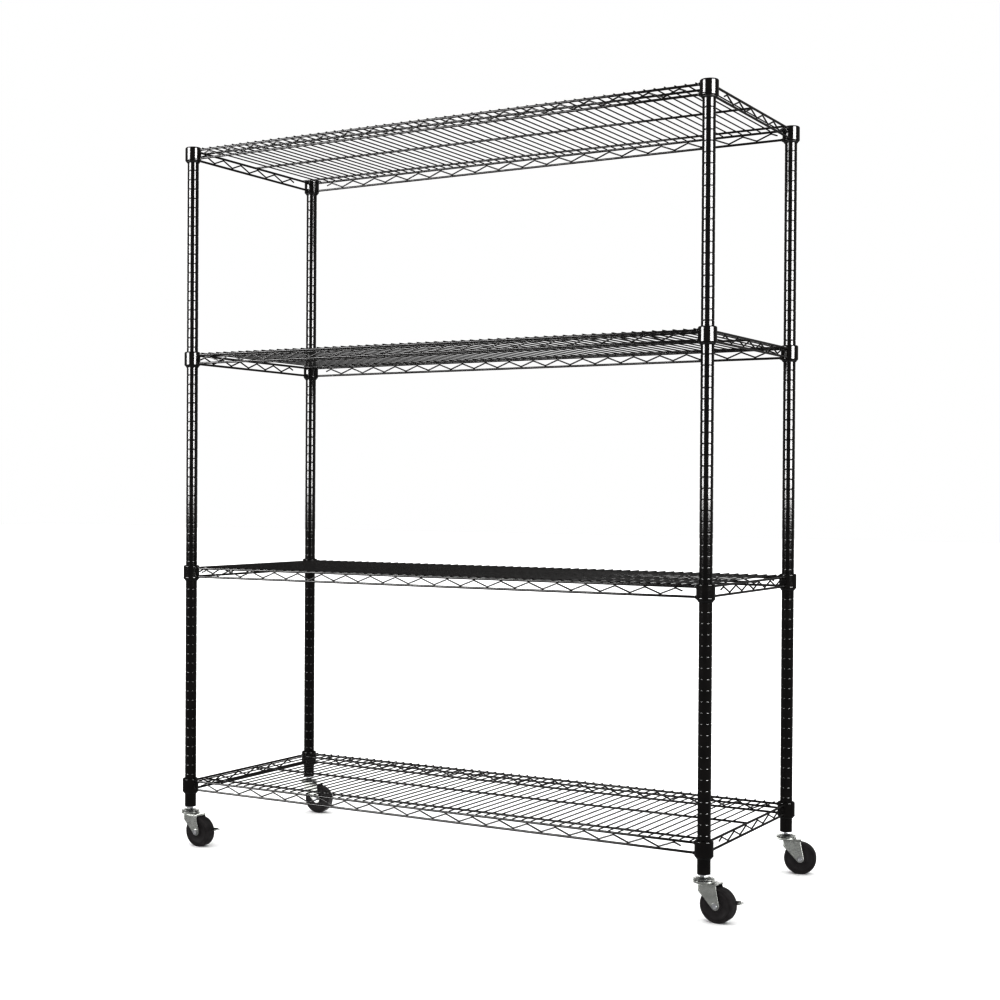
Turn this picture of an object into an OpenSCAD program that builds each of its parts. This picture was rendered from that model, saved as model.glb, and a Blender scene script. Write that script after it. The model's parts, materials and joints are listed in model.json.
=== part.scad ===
// Wire shelving rack: four grooved posts, four welded wire shelves on split tapered sleeves,
// and four swivel casters, the front two with foot brakes.
// X runs along the long side, Y from front to back, Z up from the floor.

/* [Rack] */
// Distance between post centres along the long side
post_spacing_x = 1486; // [900:2:1800]
// Distance between post centres along the short side
post_spacing_y = 572; // [440:2:720]
// Distance between one post groove and the next
groove_pitch = 25.4; // [25:0.1:26]
// Length of a post, in groove pitches
post_pitches = 71; // [71:1:76]
// Distance from the top shelf to the one below it, in groove pitches
top_shelf_pitches = 22; // [8:1:22]
// Distance from one lower shelf to the next, in groove pitches
shelf_pitches = 23; // [8:1:23]

/* [Posts] */
// Outer diameter of a post
post_d = 30; // [29:0.5:31]
// Wall of a post
post_wall = 1.5; // [1.2:0.1:1.8]
// Depth of a post groove
groove_depth = 0.7; // [0.4:0.1:0.8]

/* [Shelves] */
// Diameter of the top and bottom rails
rail_d = 5.5; // [5:0.1:6]
// Diameter of the zigzag wire between the rails
snake_d = 3.5; // [3:0.1:4]
// Diameter of the cross wires
cross_d = 3; // [2.6:0.1:3.4]
// Diameter of the long wires under the cross wires
long_d = 5; // [4.5:0.1:5.5]
// Height from the bottom rail to the top rail, between centres
truss_h = 23; // [22:0.5:26]
// Distance from the centre line of the front or back rail to the nearest long wire
long_inset = 51; // [48:1:90]
// Outer diameter of a shelf collar
collar_d = 43; // [42:0.5:45]
// Height of a shelf collar
collar_h = 38; // [38:1:42]

/* [Casters] */
// Height from the floor to the foot of the post
caster_h = 104; // [104:0.5:106]
// Diameter of a wheel
wheel_d = 80; // [76:1:80]
// Width of a wheel
wheel_w = 30; // [26:1:31]
// Distance that the axle trails behind the stem
trail = 36; // [30:1:38]
// Heading of the two front casters, in degrees from the long side
front_heading = -3; // [-20:1:20]
// Heading of the back right caster, in degrees from the long side
back_right_heading = 16; // [-20:1:20]
// Heading of the back left caster, in degrees from the long side
back_left_heading = 6; // [-20:1:20]

/* [Hidden] */
$fn = 48;
SHELVES = [1, 2, 3, 4];
CORNERS = ["front_left", "front_right", "back_right", "back_left"];
BRAKED = ["front_left", "front_right"];

// Overshoot that lets a cut pass right through a face
cut = 1;
// How far a wire sinks into the collar or rail that it is welded to
weld_bite = 0.4;
// Crossing wires of one mesh lie this far apart and are joined by a small weld
weld_gap = 0.1;
cross_weld = [1.6, 1.6, 1.6];
// Free space between a collar and the sleeve that it wedges onto
wedge_gap = 0.15;
// Free space in a fit that turns
running_gap = 0.05;

// Posts: the socket's flange is under the tube and the cap's flange is on it. The first groove is
// inside the lowest sleeve, so that the foot of the post is plain.
post_r = post_d / 2;
bore_r = post_r - post_wall;
flange_t = 1.5;
post_z = caster_h + flange_t;
post_len = post_pitches * groove_pitch;
post_top = post_z + post_len;
groove_half_w = 1.4;
groove_floor_half_w = 0.6;
socket_len = 34;
cap_len = 14;

// Shelf levels are measured down from the top of the collars
collar_r = collar_d / 2;
collar_edge = 2.5;
sleeve_top = 3;
sleeve_foot = 4;
sleeve_top_r = post_r + 2.3;
sleeve_taper = 1.5 / collar_h;
sleeve_split_deg = 4;
rib_depth = 1.5 * groove_pitch;
rail_r = rail_d / 2;
bend_weld = [6, snake_d + 0.2, snake_d + 1.2];
bend_weld_rise = 0.4;
rail_z = -8;
cross_z = rail_z + rail_r + cross_d / 2 - weld_bite;
long_z = cross_z - (cross_d + long_d) / 2 - weld_gap;
cross_pitch = groove_pitch;
cross_each_side = floor((post_spacing_x / 2 - collar_r - cross_d) / cross_pitch);

// The zigzag wires: how many peaks, and how far the first and last one are from the posts
long_peaks = 19;
long_peak_start = 53;
long_peak_end = 73;
side_peaks = 6;
side_peak_start = 54;
side_peak_end = 113;
snake_tail = 0.45;

// Caster: heights above the floor, distances out from the stem's axis
wheel_r = wheel_d / 2;
stem_r = 6;
thread_r = 5;
axle_r = 4;
tube_r = 6;
plate_t = 2.5;
plate_in_y = wheel_w / 2 + 2.6;
plate_out_y = plate_in_y + plate_t;
top_plate_z = caster_h - 18;
top_plate_t = 2.5;
dish_r = 25;
dish_rim_t = 3;
dish_rim_top_z = top_plate_z + 6.2;
ball_r = 2.4;
ball_ring_r = 16.5;
ball_count = 12;
ball_z = top_plate_z + top_plate_t + ball_r + 0.15;
raceway_z = ball_z + ball_r + 0.05;
raceway_r = 24.3;
raceway_rim_t = 2.2;
raceway_dome_r = 13;
raceway_top_z = caster_h - 5;
rivet_r = 9;
rivet_t = 2;
rivet_gap = 0.15;
plate_front_x = -6;
plate_rear_x = 38;
plate_corner_z = top_plate_z - 16;
plate_end_r = 10;
tyre_in_r = wheel_r * 0.7;
hub_boss_y = wheel_w / 2 + 1.8;
hub_boss_r = 13;
hub_web_y = wheel_w / 2 - 2.5;
hub_rim_t = 4;
bolt_head_t = 5;
hex_r = 7.5;
stem_hex_r = 9.8;

// Brake pedal: an arm on the axle bolt outside the far plate, with a foot tab behind the wheel
pedal_gap = 0.4;
pedal_t = 2.5;
pedal_eye_r = 10;
pedal_rise = 10;
pedal_reach = 54;
pedal_tab_start = wheel_r + 3;
pedal_tab_w = 22;
pedal_arm_w = 9;
pedal_arm_reach = wheel_r + 6;

// The casters trail to the right, so the posts stand left of the middle of the whole rack
middle_x = (trail + pedal_reach - dish_r) / 2;

epoxy = "#161616";
zinc = "#b9bcb8";
steel = "#8d9096";
plastic = "#202022";
rubber = "#2b292a";

function pitches_down(n) = n == 1 ? 0 : top_shelf_pitches + (n - 2) * shelf_pitches;
function shelf_z(n) = post_top - pitches_down(n) * groove_pitch;
function side_x(c) = c == "front_right" || c == "back_right" ? 1 : -1;
function side_y(c) = c == "back_right" || c == "back_left" ? 1 : -1;
function heading(c) =
    c == "back_right" ? back_right_heading : c == "back_left" ? back_left_heading : front_heading;
function is_braked(c) = c == "front_left" || c == "front_right";
function sleeve_r(depth) = sleeve_top_r + sleeve_taper * depth;

// The point where a line from p touches a circle round c of radius r, on the side that turn gives
function touch_point(p, c, r, turn) =
    let (d = norm(p - c), base = atan2(p.y - c.y, p.x - c.x), a = base + turn * acos(r / d))
    c + r * [cos(a), sin(a)];

module at_corner(c, z = 0) {
    translate([side_x(c) * post_spacing_x / 2 - middle_x, side_y(c) * post_spacing_y / 2, z])
        children();
}

// A caster part is drawn with its stem on Z and its wheel towards +X
module at_caster(c) {
    at_corner(c) rotate([0, 0, heading(c)]) children();
}

module at_axle() {
    translate([trail, 0, wheel_r]) rotate([-90, 0, 0]) children();
}

// A round wire from one point to another
module wire(from, to, d) {
    v = to - from;
    translate(from)
        rotate([0, acos(v.z / norm(v)), atan2(v.y, v.x)])
            cylinder(h = norm(v), d = d);
}

module post(c) {
    grooves = [for (i = [1:post_pitches - 1]) (i + 0.5) * groove_pitch];
    outside = [
        for (z = grooves)
            for (p = [[0, -groove_half_w], [groove_depth, -groove_floor_half_w],
                      [groove_depth, groove_floor_half_w], [0, groove_half_w]])
                [post_r - p.x, z + p.y]
    ];
    color(epoxy)
        at_corner(c, post_z)
            rotate_extrude()
                polygon(concat([[bore_r, 0], [post_r, 0]], outside, [[post_r, post_len], [bore_r, post_len]]));
}

module post_caps() {
    color(plastic)
        for (c = CORNERS)
            at_corner(c, post_top)
                rotate_extrude()
                    polygon([[0, 0], [0, flange_t], [post_r - 1, flange_t], [post_r, flange_t - 0.8],
                             [post_r, 0], [bore_r, 0], [bore_r, -cap_len], [bore_r - 2, -cap_len],
                             [bore_r - 2, -flange_t], [0, -flange_t]]);
}

module stem_sockets() {
    color(steel)
        for (c = CORNERS)
            at_corner(c, caster_h)
                rotate_extrude()
                    polygon([[thread_r, 0], [post_r, 0], [post_r, flange_t], [bore_r, flange_t],
                             [bore_r, socket_len], [thread_r, socket_len]]);
}

// One half of a split sleeve: it wedges the collar and its rib sits in a groove
module sleeve_half() {
    in_r = post_r + running_gap;
    rib_r = post_r - groove_depth + wedge_gap;
    bottom = collar_h + sleeve_foot;
    rotate([0, 0, sleeve_split_deg])
        rotate_extrude(angle = 180 - 2 * sleeve_split_deg)
            polygon([[in_r, -sleeve_top], [sleeve_r(sleeve_top), -sleeve_top],
                     [sleeve_r(bottom - 2), 2 - bottom], [sleeve_r(bottom) - 2, -bottom],
                     [in_r, -bottom],
                     [in_r, -rib_depth - 1.2], [rib_r, -rib_depth - 0.5],
                     [rib_r, -rib_depth + 0.5], [in_r, -rib_depth + 1.2]]);
}

module sleeves(n) {
    color(plastic)
        for (c = CORNERS)
            at_corner(c, shelf_z(n))
                for (turn = [0, 180])
                    rotate([0, 0, turn]) sleeve_half();
}

module collars(n) {
    color(epoxy)
        for (c = CORNERS)
            at_corner(c, shelf_z(n))
                rotate_extrude()
                    polygon([[sleeve_r(0) + wedge_gap, 0], [collar_r - collar_edge, 0],
                             [collar_r, -collar_edge], [collar_r, collar_edge - collar_h],
                             [collar_r - 1, -collar_h], [sleeve_r(collar_h) + wedge_gap, -collar_h]]);
}

// A small weld that joins two wires
module weld(p, size) {
    translate(p) cube(size, center = true);
}

// A zigzag wire along X from peak to peak, welded at every bend, with a free tail at each end
module snake(first_x, last_x, peaks, top_z, bottom_z) {
    leg = (last_x - first_x) / (peaks - 1) / 2;
    bends = [
        for (i = [0:2 * peaks - 2])
            [first_x + i * leg, 0, i % 2 == 0 ? top_z : bottom_z]
    ];
    tail = [leg, 0, top_z - bottom_z] * snake_tail;
    path = concat([bends[0] - tail], bends, [bends[2 * peaks - 2] + [tail.x, 0, -tail.z]]);
    for (i = [0:len(path) - 2]) wire(path[i], path[i + 1], snake_d);
    for (p = bends) weld(p + [0, 0, (p.z == top_z ? 1 : -1) * bend_weld_rise], bend_weld);
}

// One side of a shelf's rim, along X and centred: two rails that end in the collars, and the zigzag
module truss(span, peaks, start, end) {
    x = span / 2 - collar_r + weld_bite;
    sink = (rail_d + snake_d) / 2 + weld_gap;
    for (z = [rail_z, rail_z - truss_h]) wire([-x, 0, z], [x, 0, z], rail_d);
    snake(start - span / 2, span / 2 - end, peaks, rail_z - sink, rail_z - truss_h + sink);
}

module trusses(n) {
    color(epoxy)
        translate([-middle_x, 0, shelf_z(n)])
            for (turn = [0, 180])
                rotate([0, 0, turn]) {
                    translate([0, -post_spacing_y / 2, 0])
                        truss(post_spacing_x, long_peaks, long_peak_start, long_peak_end);
                    translate([-post_spacing_x / 2, 0, 0])
                        rotate([0, 0, 90])
                            truss(post_spacing_y, side_peaks, side_peak_start, side_peak_end);
                }
}

module deck(n) {
    x = post_spacing_x / 2;
    y = post_spacing_y / 2 + cross_d;
    inner_y = post_spacing_y / 2 - long_inset;
    color(epoxy)
        translate([-middle_x, 0, shelf_z(n)]) {
            for (i = [-cross_each_side:cross_each_side])
                wire([i * cross_pitch, -y, cross_z], [i * cross_pitch, y, cross_z], cross_d);
            for (wire_y = [-inner_y, 0, inner_y]) {
                wire([-x, wire_y, long_z], [x, wire_y, long_z], long_d);
                for (i = [-cross_each_side:cross_each_side])
                    weld([i * cross_pitch, wire_y, cross_z - (cross_d + weld_gap) / 2], cross_weld);
            }
        }
}

// The stem: a rivet head under the fork, a journal, a hexagon under the post, and the thread
module stem(c) {
    color(steel)
        at_caster(c) {
            translate([0, 0, top_plate_z - rivet_gap - rivet_t]) cylinder(h = rivet_t, r = rivet_r);
            translate([0, 0, top_plate_z - cut]) cylinder(h = raceway_top_z - top_plate_z + cut, r = stem_r);
            translate([0, 0, raceway_top_z]) cylinder(h = caster_h - raceway_top_z, r = stem_hex_r, $fn = 6);
            translate([0, 0, raceway_top_z]) cylinder(h = socket_len, r = thread_r);
        }
}

module raceway(c) {
    color(zinc)
        at_caster(c)
            rotate_extrude()
                polygon([[stem_r, raceway_z], [raceway_r, raceway_z],
                         [raceway_r, raceway_z + raceway_rim_t], [raceway_dome_r, raceway_top_z],
                         [stem_r, raceway_top_z]]);
}

module bearing_balls() {
    color(steel)
        for (c = CORNERS)
            at_caster(c)
                for (i = [0:ball_count - 1])
                    rotate([0, 0, i * 360 / ball_count])
                        translate([ball_ring_r, 0, ball_z])
                            sphere(r = ball_r);
}

// A side plate's outline in X and Z: square under the top plate, round at the axle
module fork_plate_outline() {
    axle = [trail, wheel_r];
    front = [plate_front_x, plate_corner_z];
    rear = [plate_rear_x, top_plate_z];
    polygon([[plate_front_x, top_plate_z + cut], front, touch_point(front, axle, plate_end_r, 1), axle,
             touch_point(rear, axle, plate_end_r, -1), rear, [plate_rear_x, top_plate_z + cut]]);
    translate(axle) circle(r = plate_end_r);
}

module fork(c) {
    color(zinc)
        at_caster(c)
            difference() {
                union() {
                    rotate_extrude()
                        polygon([[0, top_plate_z], [dish_r, top_plate_z], [dish_r, dish_rim_top_z],
                                 [dish_r - dish_rim_t, dish_rim_top_z],
                                 [dish_r - dish_rim_t, top_plate_z + top_plate_t],
                                 [0, top_plate_z + top_plate_t]]);
                    translate([plate_front_x, -plate_out_y, top_plate_z])
                        cube([plate_rear_x - plate_front_x, 2 * plate_out_y, top_plate_t]);
                    for (y = [-plate_in_y, plate_out_y])
                        translate([0, y, 0])
                            rotate([90, 0, 0])
                                linear_extrude(plate_t) fork_plate_outline();
                }
                translate([0, 0, top_plate_z - cut])
                    cylinder(h = top_plate_t + 2 * cut, r = stem_r + running_gap);
                at_axle() cylinder(h = 3 * wheel_w, r = axle_r + running_gap, center = true);
            }
}

// A hexagonal head or nut on the axle, standing on the plane at y
module axle_hex(y) {
    at_axle() translate([0, 0, y]) cylinder(h = bolt_head_t, r = hex_r, $fn = 6);
}

function nut_y(c) = is_braked(c) ? plate_out_y + 2 * pedal_gap + pedal_t : plate_out_y;

module axle_bolt(c) {
    color(steel)
        at_caster(c) {
            axle_hex(-plate_out_y - bolt_head_t);
            at_axle() translate([0, 0, -plate_out_y - cut])
                cylinder(h = plate_out_y + nut_y(c) + bolt_head_t + 2 * cut, r = axle_r);
        }
}

module axle_nut(c) {
    color(steel)
        at_caster(c)
            difference() {
                axle_hex(nut_y(c));
                at_axle() cylinder(h = 3 * wheel_w, r = axle_r, center = true);
            }
}

module axle_tube(c) {
    color(steel)
        at_caster(c)
            at_axle()
                rotate_extrude()
                    polygon([[axle_r, -plate_in_y], [tube_r, -plate_in_y], [tube_r, plate_in_y],
                             [axle_r, plate_in_y]]);
}

module tyre(c) {
    crown = 5;
    half = wheel_w / 2;
    color(rubber)
        at_caster(c)
            at_axle()
                rotate_extrude()
                    polygon(concat(
                        [[tyre_in_r, half], [tyre_in_r, -half]],
                        [for (a = [-90:15:0]) [wheel_r - crown + crown * cos(a), crown - half + crown * sin(a)]],
                        [for (a = [0:15:90]) [wheel_r - crown + crown * cos(a), half - crown + crown * sin(a)]]
                    ));
}

module hub(c) {
    bore = tube_r + running_gap;
    rim_y = wheel_w / 2 - 1;
    side = [[bore, hub_boss_y], [hub_boss_r, hub_boss_y], [hub_boss_r, hub_web_y],
            [tyre_in_r - hub_rim_t, hub_web_y], [tyre_in_r - hub_rim_t, rim_y], [tyre_in_r, rim_y]];
    color(rubber)
        at_caster(c)
            at_axle()
                rotate_extrude()
                    polygon(concat(side, [for (i = [len(side) - 1:-1:0]) [side[i].x, -side[i].y]]));
}

module brake_pedal(c) {
    color(zinc)
        at_caster(c)
            translate([trail, plate_out_y + pedal_gap, wheel_r])
                rotate([0, -pedal_rise, 0])
                    difference() {
                        union() {
                            rotate([-90, 0, 0]) cylinder(h = pedal_t, r = pedal_eye_r);
                            translate([0, 0, -pedal_arm_w / 2]) cube([pedal_arm_reach, pedal_t, pedal_arm_w]);
                            translate([pedal_tab_start, pedal_t - pedal_tab_w, -pedal_arm_w / 2])
                                cube([pedal_reach - pedal_tab_start, pedal_tab_w, pedal_t]);
                        }
                        rotate([-90, 0, 0])
                            cylinder(h = 3 * pedal_t, r = axle_r + running_gap, center = true);
                    }
}

for (c = CORNERS) {
    post(c);
    stem(c);
    raceway(c);
    fork(c);
    axle_bolt(c);
    axle_nut(c);
    axle_tube(c);
    tyre(c);
    hub(c);
}
for (c = BRAKED) {
    brake_pedal(c);
}
for (n = SHELVES) {
    sleeves(n);
    collars(n);
    trusses(n);
    deck(n);
}
post_caps();
stem_sockets();
bearing_balls();
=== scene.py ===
"""Looks of the wire shelving rack: fine wires, welds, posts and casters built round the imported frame.

Lengths with names in capitals are in millimetres, and MM turns them into the scene's metres.
X runs along the long side, Y from front to back, Z up from the floor.
"""

import json
import math
import random

import bmesh
import bpy
from mathutils import Matrix, Vector


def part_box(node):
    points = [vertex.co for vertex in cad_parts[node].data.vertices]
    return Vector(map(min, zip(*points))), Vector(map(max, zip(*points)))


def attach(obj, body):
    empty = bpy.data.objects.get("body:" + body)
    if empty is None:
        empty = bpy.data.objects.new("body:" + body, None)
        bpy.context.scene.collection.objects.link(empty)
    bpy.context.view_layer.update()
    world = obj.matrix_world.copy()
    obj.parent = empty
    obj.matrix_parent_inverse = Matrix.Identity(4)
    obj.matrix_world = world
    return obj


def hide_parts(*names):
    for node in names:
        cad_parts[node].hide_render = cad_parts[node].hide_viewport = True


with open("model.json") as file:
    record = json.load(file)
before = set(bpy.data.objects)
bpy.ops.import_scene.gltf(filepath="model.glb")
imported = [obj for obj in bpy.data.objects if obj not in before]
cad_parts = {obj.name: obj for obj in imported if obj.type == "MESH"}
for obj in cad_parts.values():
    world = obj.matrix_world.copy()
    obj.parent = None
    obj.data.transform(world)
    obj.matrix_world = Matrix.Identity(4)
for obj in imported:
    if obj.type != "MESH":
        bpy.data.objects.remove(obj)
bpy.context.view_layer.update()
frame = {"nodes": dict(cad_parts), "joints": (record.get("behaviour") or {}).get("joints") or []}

MM = 0.001
SHELVES = (1, 2, 3, 4)
CORNERS = ("front_left", "front_right", "back_right", "back_left")
BRAKED = ("front_left", "front_right")
JOINTS = {joint["name"]: joint for joint in frame["joints"]}

# Wires
RAIL_R = 2.75
SNAKE_R = 1.75
CROSS_R = 1.5
LONG_R = 2.5
TRUSS_H = 23
RAIL_DEPTH = 8
CROSS_PITCH = 25.4
CROSS_EACH_SIDE = 28
LONG_INSET = 51
WIRE_GAP = 0.1
RAIL_BITE = 0.4
SNAKE_BEND_R = 7
WEB_T = 2.6
# The zigzag's upper bends: how many, and how far the first and the last are from the post centres
LONG_PEAKS = (19, 53, 73)
SIDE_PEAKS = (6, 54, 113)
# The zigzag's free ends, as a share of one leg
SNAKE_TAIL = 0.45

# Posts, sleeves and collars
GROOVE_PITCH = 25.4
GROOVE_DEPTH = 0.7
GROOVE_HALF_W = 1.4
POST_WALL = 1.5
COLLAR_H = 38
COLLAR_R = 21.5
SLEEVE_TOP = 3
SLEEVE_FOOT = 4
SLEEVE_TAPER = 1.5 / COLLAR_H
SLEEVE_OVER_POST = 2.3
SLEEVE_SPLIT_DEG = 4
WEDGE_GAP = 0.15

# Casters: the stem is on the local Z axis and the wheel trails towards local +X
WHEEL_W = 30
PLATE_T = 2.5
PLATE_IN_Y = WHEEL_W / 2 + 2.6
PLATE_OUT_Y = PLATE_IN_Y + PLATE_T
TOP_PLATE_Z = 86
DISH_R = 25
DISH_RIM_Z = 92.2
RACEWAY_R = 24.3
RACEWAY_Z = 93.5
RACEWAY_TOP_Z = 99
STEM_TOP_Z = 104
STEM_R = 6
STEM_HEX_R = 9.8
STEM_THREAD_R = 4.95
STEM_THREAD_ROOT_R = 4.3
STEM_THREAD_PITCH = 1.5
STEM_THREAD_LEN = 27
FORK_FRONT_X = -6
FORK_REAR_X = 38
FORK_CORNER_Z = TOP_PLATE_Z - 16
FORK_END_R = 10
FORK_BEND_R = 3.5
AXLE_R = 4
AXLE_THREAD_PITCH = 1
TUBE_R = 6
HUB_R_SHARE = 0.7
BOLT_HEAD_T = 5
HEX_R = 7.5
PEDAL_GAP = 0.4
PEDAL_T = 2.5
PEDAL_EYE_R = 10
PEDAL_RISE_DEG = 10
PEDAL_REACH = 54
PEDAL_ARM_REACH = 46
PEDAL_TAB_START = 43
PEDAL_TAB_W = 22
PEDAL_TIP_W = 5


# ---------------------------------------------------------------- shapes

class Shape:
    """Points and faces in millimetres that grow part by part and end as one mesh object."""

    def __init__(self):
        self.points = []
        self.faces = []

    def add(self, part, place=None):
        points, faces = part
        start = len(self.points)
        if place is not None:
            points = [place @ Vector(p) for p in points]
        self.points.extend(tuple(p) for p in points)
        self.faces.extend(tuple(start + i for i in face) for face in faces)

    def piece(self, name, material, body, node, place=None, sharp_deg=35):
        """The mesh as an object that rides on a body and stands for a CAD node."""
        mesh = bpy.data.meshes.new(name)
        mesh.from_pydata(self.points, [], self.faces)
        mesh.transform(Matrix.Scale(MM, 4) if place is None else place @ Matrix.Scale(MM, 4))
        bm = bmesh.new()
        bm.from_mesh(mesh)
        bmesh.ops.recalc_face_normals(bm, faces=bm.faces)
        bm.to_mesh(mesh)
        bm.free()
        mesh.polygons.foreach_set("use_smooth", [True] * len(mesh.polygons))
        mesh.set_sharp_from_angle(angle=math.radians(sharp_deg))
        mesh.materials.append(material)
        thing = bpy.data.objects.new(name, mesh)
        bpy.context.scene.collection.objects.link(thing)
        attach(thing, body)
        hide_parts(node)
        return thing


def lathe(profile, segments=48, start_deg=0, sweep_deg=360):
    """A profile of (radius, height) points turned about Z. A part turn is closed by its two end faces."""
    whole = sweep_deg == 360
    columns = segments if whole else segments + 1
    angles = [math.radians(start_deg + sweep_deg * c / segments) for c in range(columns)]
    points = []
    rows = []
    for r, z in profile:
        if r == 0:
            rows.append([len(points)] * columns)
            points.append((0, 0, z))
        else:
            rows.append(list(range(len(points), len(points) + columns)))
            points.extend((r * math.cos(a), r * math.sin(a), z) for a in angles)
    faces = []
    for low, high in zip(rows, rows[1:]):
        for c in range(segments):
            d = (c + 1) % columns
            face = []
            for i in (low[c], low[d], high[d], high[c]):
                if i not in face:
                    face.append(i)
            faces.append(tuple(face))
    if not whole:
        faces.append(tuple(row[0] for row in rows[:-1]))
        faces.append(tuple(row[-1] for row in reversed(rows[:-1])))
    return points, faces


def ring_profile(points):
    """A closed profile for lathe: it ends where it starts."""
    return list(points) + [points[0]]


def arc(centre, radius, start_deg, end_deg, steps):
    """Points on an arc in a plane."""
    angles = [math.radians(start_deg + (end_deg - start_deg) * i / steps) for i in range(steps + 1)]
    return [(centre[0] + radius * math.cos(a), centre[1] + radius * math.sin(a)) for a in angles]


def tube(path, radius, sides=12, bevel=0.3):
    """A round wire along a path of points, with its two cut ends bevelled."""
    path = [Vector(p) for p in path]
    step = radius * bevel
    first = path[0] + (path[1] - path[0]).normalized() * step
    last = path[-1] + (path[-2] - path[-1]).normalized() * step
    spine = [path[0], first] + path[1:-1] + [last, path[-1]]
    radii = [radius - step] + [radius] * (len(spine) - 2) + [radius - step]
    along = (spine[1] - spine[0]).normalized()
    side = along.orthogonal().normalized()
    points = []
    for i, (centre, r) in enumerate(zip(spine, radii)):
        before = spine[max(i - 1, 0)]
        after = spine[min(i + 1, len(spine) - 1)]
        turned = (after - before).normalized()
        side = along.rotation_difference(turned) @ side
        along = turned
        up = along.cross(side)
        for k in range(sides):
            a = 2 * math.pi * k / sides
            points.append(centre + (side * math.cos(a) + up * math.sin(a)) * r)
    faces = [tuple(range(sides))[::-1]]
    for i in range(len(spine) - 1):
        for k in range(sides):
            a = i * sides + k
            b = i * sides + (k + 1) % sides
            faces.append((a, b, b + sides, a + sides))
    faces.append(tuple((len(spine) - 1) * sides + k for k in range(sides)))
    return points, faces


def rounded(path, radius, steps=4):
    """The same path with every corner turned into an arc."""
    path = [Vector(p) for p in path]
    out = [path[0]]
    for before, corner, after in zip(path, path[1:], path[2:]):
        back = (before - corner).normalized()
        ahead = (after - corner).normalized()
        half = back.angle(ahead) / 2
        centre = corner + (back + ahead).normalized() * (radius / math.sin(half))
        a = corner + back * (radius / math.tan(half)) - centre
        b = corner + ahead * (radius / math.tan(half)) - centre
        turn = a.angle(b)
        for i in range(steps + 1):
            t = i / steps
            out.append(centre + (a * math.sin((1 - t) * turn) + b * math.sin(t * turn)) / math.sin(turn))
    out.append(path[-1])
    return out


def bead(centre, size, segments=10, rings=6):
    """A weld bead: a small ellipsoid with the given half sizes."""
    profile = [(math.sin(math.pi * i / rings), -math.cos(math.pi * i / rings)) for i in range(rings + 1)]
    profile[0] = (0, -1)
    profile[-1] = (0, 1)
    points, faces = lathe(profile, segments)
    return [Vector(centre) + Vector((p[0] * size[0], p[1] * size[1], p[2] * size[2])) for p in points], faces


def inset(outline, distance):
    """A closed outline moved inwards by a distance. The outline runs anticlockwise."""
    moved = []
    count = len(outline)
    for i in range(count):
        p = Vector(outline[i])
        before = (p - Vector(outline[i - 1])).normalized()
        after = (Vector(outline[(i + 1) % count]) - p).normalized()
        normal = Vector((-before.y - after.y, before.x + after.x)).normalized()
        lean = max(0.5, normal.dot(Vector((-before.y, before.x))))
        moved.append(p + normal * (distance / lean))
    return moved


def plate(outline, levels):
    """A closed outline carried through levels of (inset, height), with flat faces at both ends."""
    count = len(outline)
    points = []
    for distance, height in levels:
        points.extend((p[0], p[1], height) for p in inset(outline, distance))
    faces = [tuple(range(count))[::-1]]
    for level in range(len(levels) - 1):
        for i in range(count):
            a = level * count + i
            b = level * count + (i + 1) % count
            faces.append((a, b, b + count, a + count))
    faces.append(tuple((len(levels) - 1) * count + i for i in range(count)))
    return points, faces


def slab_levels(thickness, edge):
    """Levels of a flat plate with its edges rounded in two steps."""
    return [(edge, 0), (edge * 0.3, edge * 0.3), (0, edge), (0, thickness - edge),
            (edge * 0.3, thickness - edge * 0.3), (edge, thickness)]


def rectangle(x0, x1, y0, y1, corner, steps=4):
    """A rectangle's outline with round corners, anticlockwise."""
    out = []
    for cx, cy, start in ((x1 - corner, y0 + corner, -90), (x1 - corner, y1 - corner, 0),
                          (x0 + corner, y1 - corner, 90), (x0 + corner, y0 + corner, 180)):
        out.extend(arc((cx, cy), corner, start, start + 90, steps))
    return out


def hexagon(radius):
    """A regular hexagon's corners, anticlockwise."""
    angles = [math.radians(a) for a in range(0, 360, 60)]
    return [(radius * math.cos(a), radius * math.sin(a)) for a in angles]


def hex_head(radius, thickness, chamfer=1.0):
    """A hexagonal head standing on z = 0 with chamfered corners."""
    return plate(hexagon(radius), [(0.3, 0), (0, 0.3), (0, thickness - chamfer), (chamfer, thickness)])


# ---------------------------------------------------------------- materials

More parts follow.
